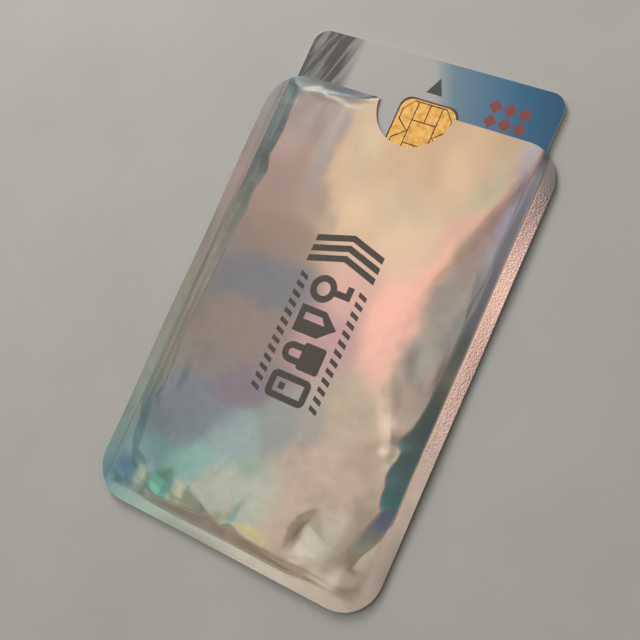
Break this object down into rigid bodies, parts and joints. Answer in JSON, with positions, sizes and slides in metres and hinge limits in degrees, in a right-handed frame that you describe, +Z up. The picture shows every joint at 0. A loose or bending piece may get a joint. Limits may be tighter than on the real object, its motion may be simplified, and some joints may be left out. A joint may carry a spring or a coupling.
{
  "type": "rfid card sleeve",
  "caption": "Flat foil shielding pouch with a half-round thumb notch, holding one chip card that slides in and out of its mouth.",
  "frame": {"origin": "centre of the pouch's flat resting face, at the middle of the pouch's length and width", "axes": "+Y along the pouch towards its mouth, +Z up out of the front panel, +X to the right as seen from the front with the mouth at the top"},
  "size_m": [0.0624, 0.1018, 0.0026],
  "materials": {
    "holographic_film": "metallised holographic film, satin gloss",
    "back_film": "metallised film, satin gloss",
    "shield_foil": "bright rolled foil",
    "liner": "matte heat-seal film",
    "seal": "fused liner",
    "ink": "matte ink",
    "card_print": "glossy laminate over print",
    "card_core": "white plastic sheet",
    "card_back": "glossy laminate over print",
    "copper": "etched copper",
    "stripe": "smooth magnetic coating",
    "signature": "matte writing surface",
    "gold_contacts": "gold-plated",
    "carrier_tape": "glass-epoxy tape",
    "glue": "hot-melt glue",
    "silicon": "polished die",
    "resin": "cured resin",
    "conductive_bump": "silver-filled resin"
  },
  "bodies": {
    "sleeve": {"front_outer_film": "holographic_film", "front_shield_foil": "shield_foil", "front_liner": "liner", "back_outer_film": "back_film", "back_shield_foil": "shield_foil", "back_liner": "liner", "left_seal": "seal", "right_seal": "seal", "bottom_seal": "seal", "front_print": "ink"},
    "card": {"card_front_overlay": "card_print", "card_front_sheet": "card_core", "card_inlay": "card_core", "antenna_coil": "copper", "card_back_sheet": "card_core", "card_back_overlay": "card_back", "magnetic_stripe": "stripe", "signature_panel": "signature", "chip_contacts": "gold_contacts", "chip_tape": "carrier_tape", "chip_adhesive": "glue", "chip_die": "silicon", "chip_resin": "resin", "coil_bumps": "conductive_bump"}
  },
  "joints": [
    {"name": "card_slide", "type": "slide", "parent": "sleeve", "child": "card", "axis": [0, 1, 0], "range_m": [-0.01225, 0.08]}
  ]
}
